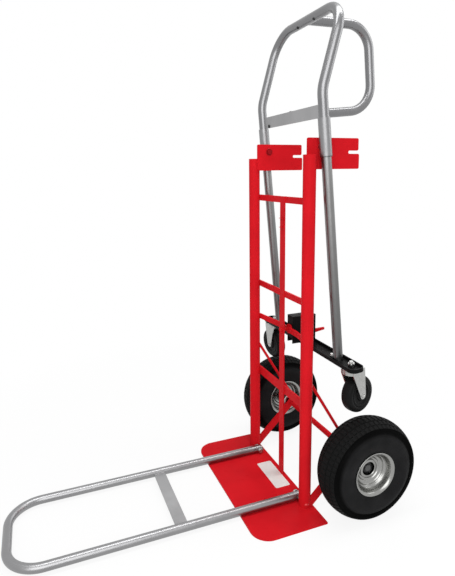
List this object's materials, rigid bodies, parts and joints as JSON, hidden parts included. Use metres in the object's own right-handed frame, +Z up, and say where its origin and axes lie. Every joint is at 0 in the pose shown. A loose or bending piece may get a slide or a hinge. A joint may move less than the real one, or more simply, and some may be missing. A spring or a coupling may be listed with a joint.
{
  "type": "folding hand truck",
  "caption": "Convertible hand truck: upright tube frame on broad tyres, swing-out caster frame with loop handle, and a tubular toe extension that folds up.",
  "frame": {"origin": "centre of the toe plate's underside, on the floor", "axes": "+Z up along the rails, -Y forward along the toe plate, +X along the axle, to the right when seen from the front"},
  "size_m": [0.5466, 1.0189, 1.2566],
  "materials": {
    "red_paint": "gloss powder coat",
    "silver_tube": "satin",
    "grey_tube": "satin",
    "zinc": "bright zinc",
    "black_paint": "textured",
    "tyre": "satin",
    "caster_rubber": "satin"
  },
  "bodies": {
    "frame": {"toe_plate": "red_paint", "right_rail": "red_paint", "left_rail": "red_paint", "top_crossbar": "red_paint", "middle_crossbar": "red_paint", "bottom_crossbar": "red_paint", "latch_crossbar": "red_paint", "centre_strap": "red_paint", "extension_clip": "red_paint", "latch_keeper": "red_paint", "right_top_bracket": "red_paint", "left_top_bracket": "red_paint", "right_pivot_bolt": "red_paint", "left_pivot_bolt": "red_paint", "right_pivot_spacer": "zinc", "left_pivot_spacer": "zinc", "right_extension_bolt": "zinc", "left_extension_bolt": "zinc", "right_lower_strut": "red_paint", "left_lower_strut": "red_paint", "right_brace_rod": "red_paint", "left_brace_rod": "red_paint", "axle": "red_paint", "right_axle_clip": "zinc", "left_axle_clip": "zinc"},
    "right_main_wheel": {"right_tyre": "tyre", "right_outer_rim": "zinc", "right_inner_rim": "zinc", "right_hub": "zinc"},
    "left_main_wheel": {"left_tyre": "tyre", "left_outer_rim": "zinc", "left_inner_rim": "zinc", "left_hub": "zinc"},
    "rear_frame": {"handle_hoop": "silver_tube", "handle_loop": "silver_tube", "handle_strap": "silver_tube", "handle_fasteners": "black_paint", "right_leg": "grey_tube", "left_leg": "grey_tube", "right_sleeve": "silver_tube", "left_sleeve": "silver_tube", "caster_beam": "black_paint", "latch_bracket": "black_paint", "latch_pin": "zinc", "right_beam_bolt": "zinc", "left_beam_bolt": "zinc", "right_caster_plate": "zinc", "left_caster_plate": "zinc", "right_kingpin": "zinc", "left_kingpin": "zinc"},
    "right_swivel": {"right_caster_fork": "zinc", "right_caster_axle": "zinc"},
    "left_swivel": {"left_caster_fork": "zinc", "left_caster_axle": "zinc"},
    "right_roller": {"right_caster_wheel": "caster_rubber"},
    "left_roller": {"left_caster_wheel": "caster_rubber"},
    "lever": {"latch_lever": "red_paint"},
    "toe_extension": {"extension_hoop": "silver_tube", "extension_strap": "silver_tube"}
  },
  "joints": [
    {"name": "right_wheel_spin", "type": "hinge", "parent": "frame", "child": "right_main_wheel", "pos_m": [0.2288, 0.2047, 0.13], "axis": [1, 0, 0], "continuous": true},
    {"name": "left_wheel_spin", "type": "hinge", "parent": "frame", "child": "left_main_wheel", "pos_m": [-0.2288, 0.2047, 0.13], "axis": [1, 0, 0], "continuous": true},
    {"name": "rear_frame_swing", "type": "hinge", "parent": "frame", "child": "rear_frame", "pos_m": [0, 0.1125, 0.922], "axis": [1, 0, 0], "range_deg": [0, 84]},
    {"name": "right_caster_swivel", "type": "hinge", "parent": "rear_frame", "child": "right_swivel", "pos_m": [0.205, 0.16898, 0.39128], "axis": [0, -0.0946, 0.9955], "continuous": true},
    {"name": "left_caster_swivel", "type": "hinge", "parent": "rear_frame", "child": "left_swivel", "pos_m": [-0.205, 0.16898, 0.39128], "axis": [0, -0.0946, 0.9955], "continuous": true},
    {"name": "right_caster_spin", "type": "hinge", "parent": "right_swivel", "child": "right_roller", "pos_m": [0.20086, 0.19036, 0.31867], "axis": [0.9613, 0.2744, 0.0261], "continuous": true},
    {"name": "left_caster_spin", "type": "hinge", "parent": "left_swivel", "child": "left_roller", "pos_m": [-0.21989, 0.17419, 0.31714], "axis": [-0.1219, 0.9881, 0.0939], "continuous": true},
    {"name": "latch_lever_turn", "type": "hinge", "parent": "rear_frame", "child": "lever", "pos_m": [0, 0.16034, 0.41868], "axis": [-1, 0, 0], "range_deg": [0, 8]},
    {"name": "toe_extension_fold", "type": "hinge", "parent": "frame", "child": "toe_extension", "pos_m": [0, 0.0718, 0.0163], "axis": [-1, 0, 0], "range_deg": [0, 90]}
  ]
}
